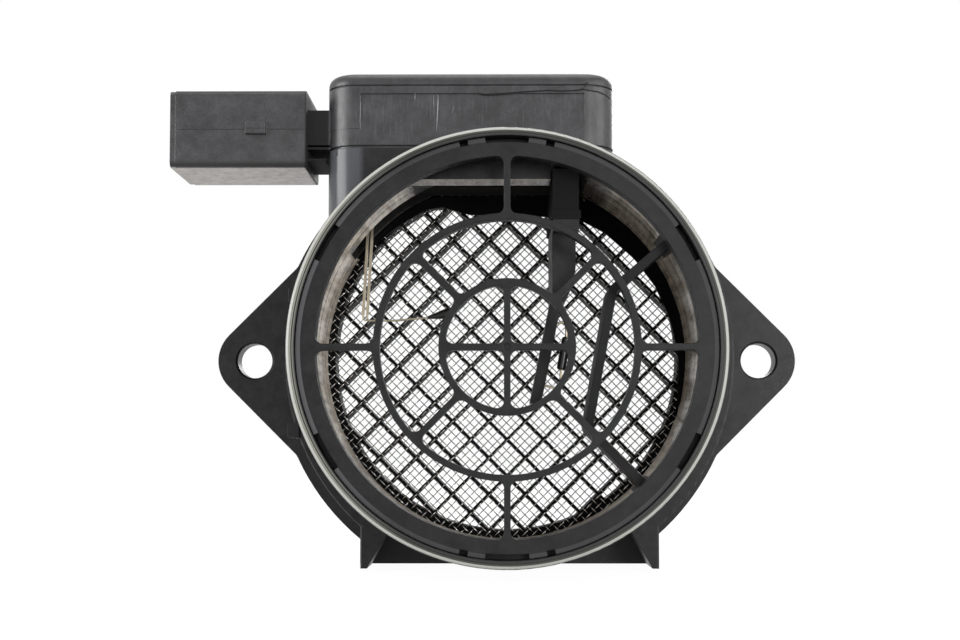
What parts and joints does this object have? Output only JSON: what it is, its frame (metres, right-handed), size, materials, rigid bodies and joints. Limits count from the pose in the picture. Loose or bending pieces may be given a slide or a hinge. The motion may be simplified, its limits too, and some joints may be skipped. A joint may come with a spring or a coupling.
{
  "type": "mass airflow sensor",
  "caption": "Flanged plastic air duct with an outlet grille, wire mesh and lattice round a hot-film sensing arm, and a side plug on its electronics box.",
  "frame": {"origin": "midway between the two bolt holes, on the flange face that meets the filter box", "axes": "+Y along the duct, out of the flange face towards the filter box; +Z from the duct axis towards the electronics box; +X completes the right hand, away from the plug"},
  "size_m": [0.1271, 0.059, 0.0985],
  "materials": {
    "housing_plastic": "fine grained charcoal glass-filled nylon",
    "cover_plastic": "fine grained charcoal glass-filled nylon",
    "grille_plastic": "smooth charcoal nylon",
    "lattice_plastic": "satin black nylon",
    "steel_wire": "drawn stainless wire, woven",
    "nickel_silver": "bright stamped nickel silver",
    "tinned_brass": "tin-plated brass",
    "seal_rubber": "moulded black rubber",
    "bead_resin": "glossy black resin",
    "plate_aluminium": "rolled aluminium",
    "board_laminate": "solder-masked laminate",
    "chip_parts": "fired ceramic chips"
  },
  "bodies": {
    "root": {"main_housing": "housing_plastic", "outlet_grille": "grille_plastic", "wire_mesh": "steel_wire", "flow_lattice": "lattice_plastic", "spigot_ring": "seal_rubber", "flow_strut": "lattice_plastic", "sensor_posts": "nickel_silver", "thermistor_bulb": "bead_resin", "thermistor_leads": "nickel_silver", "terminal_1": "tinned_brass", "terminal_2": "tinned_brass", "terminal_3": "tinned_brass", "electronics_housing": "housing_plastic", "housing_seal": "seal_rubber", "electronics_cover": "cover_plastic", "cover_seal": "seal_rubber", "base_plate": "plate_aluminium", "circuit_board": "board_laminate", "control_chip": "bead_resin", "capacitors": "chip_parts", "resistors": "chip_parts", "sensor_arm": "lattice_plastic", "hot_film": "bead_resin", "film_leads": "nickel_silver", "bond_straps": "nickel_silver"}
  },
  "joints": []
}
